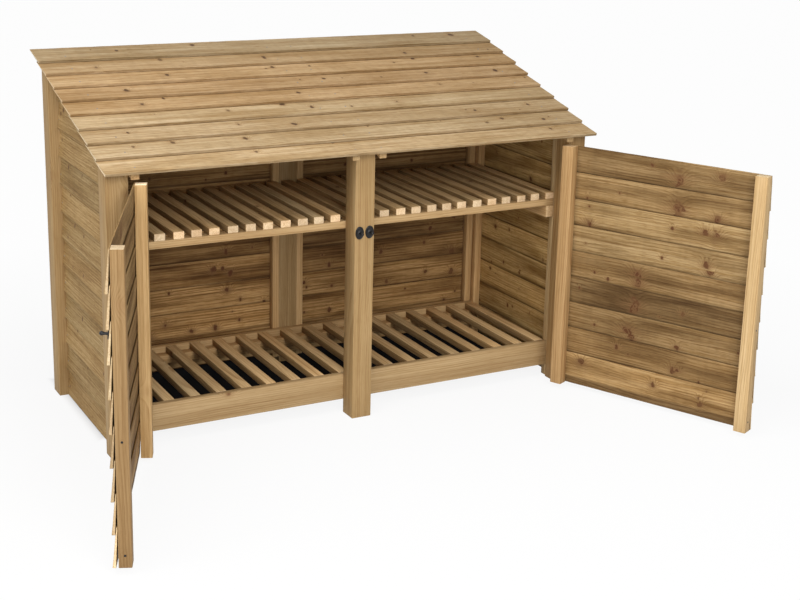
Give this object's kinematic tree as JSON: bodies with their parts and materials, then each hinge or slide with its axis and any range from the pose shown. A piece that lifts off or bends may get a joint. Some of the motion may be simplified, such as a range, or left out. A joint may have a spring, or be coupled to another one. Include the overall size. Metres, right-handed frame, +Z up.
{
  "type": "log store",
  "caption": "Timber log store with a lapped board roof that falls to the front, feather-edge sides and back, a slatted floor, a kindling shelf and two hinged doors that stand open.",
  "frame": {"origin": "on the ground, at the middle of the foot of the centre front post", "axes": "X along the front to the right seen from the front, Y from the front to the back, Z up"},
  "size_m": [2.3499, 1.5986, 1.264],
  "materials": {
    "post_timber": "planed treated softwood",
    "rail_timber": "planed treated softwood",
    "slat_timber": "planed treated softwood with sawn ends",
    "feather_edge_board": "rough sawn treated softwood",
    "black_iron": "black, smooth"
  },
  "bodies": {
    "store": {"left_front_post": "post_timber", "centre_front_post": "post_timber", "right_front_post": "post_timber", "left_back_post": "post_timber", "centre_back_post": "post_timber", "right_back_post": "post_timber", "floor_front_rail": "rail_timber", "floor_back_rail": "rail_timber", "floor_front_ledger": "rail_timber", "floor_back_ledger": "rail_timber", "left_floor_slats": "slat_timber", "right_floor_slats": "slat_timber", "left_side_stiles": "rail_timber", "left_side_boards": "feather_edge_board", "right_side_stiles": "rail_timber", "right_side_boards": "feather_edge_board", "left_back_stiles": "rail_timber", "left_back_boards": "feather_edge_board", "right_back_stiles": "rail_timber", "right_back_boards": "feather_edge_board", "left_shelf_bearer": "rail_timber", "right_shelf_bearer": "rail_timber", "shelf_front_rail": "rail_timber", "shelf_back_rail": "rail_timber", "left_shelf_slats": "slat_timber", "right_shelf_slats": "slat_timber", "left_rafter": "rail_timber", "centre_left_rafter": "rail_timber", "centre_right_rafter": "rail_timber", "right_rafter": "rail_timber", "roof_boards": "feather_edge_board", "left_hinge_flaps": "black_iron", "right_hinge_flaps": "black_iron", "left_catch": "black_iron", "right_catch": "black_iron"},
    "left_door": {"left_door_stiles": "rail_timber", "left_door_boards": "feather_edge_board", "left_door_straps": "black_iron", "left_door_knob": "black_iron"},
    "right_door": {"right_door_stiles": "rail_timber", "right_door_boards": "feather_edge_board", "right_door_straps": "black_iron", "right_door_knob": "black_iron"}
  },
  "joints": [
    {"name": "left_door_hinge", "type": "hinge", "parent": "store", "child": "left_door", "pos_m": [-0.845, -0.0425, 0.41], "axis": [0, 0, -1], "range_deg": [-113, 67]},
    {"name": "right_door_hinge", "type": "hinge", "parent": "store", "child": "right_door", "pos_m": [0.845, -0.0425, 0.41], "axis": [0, 0, 1], "range_deg": [-115, 65]}
  ]
}
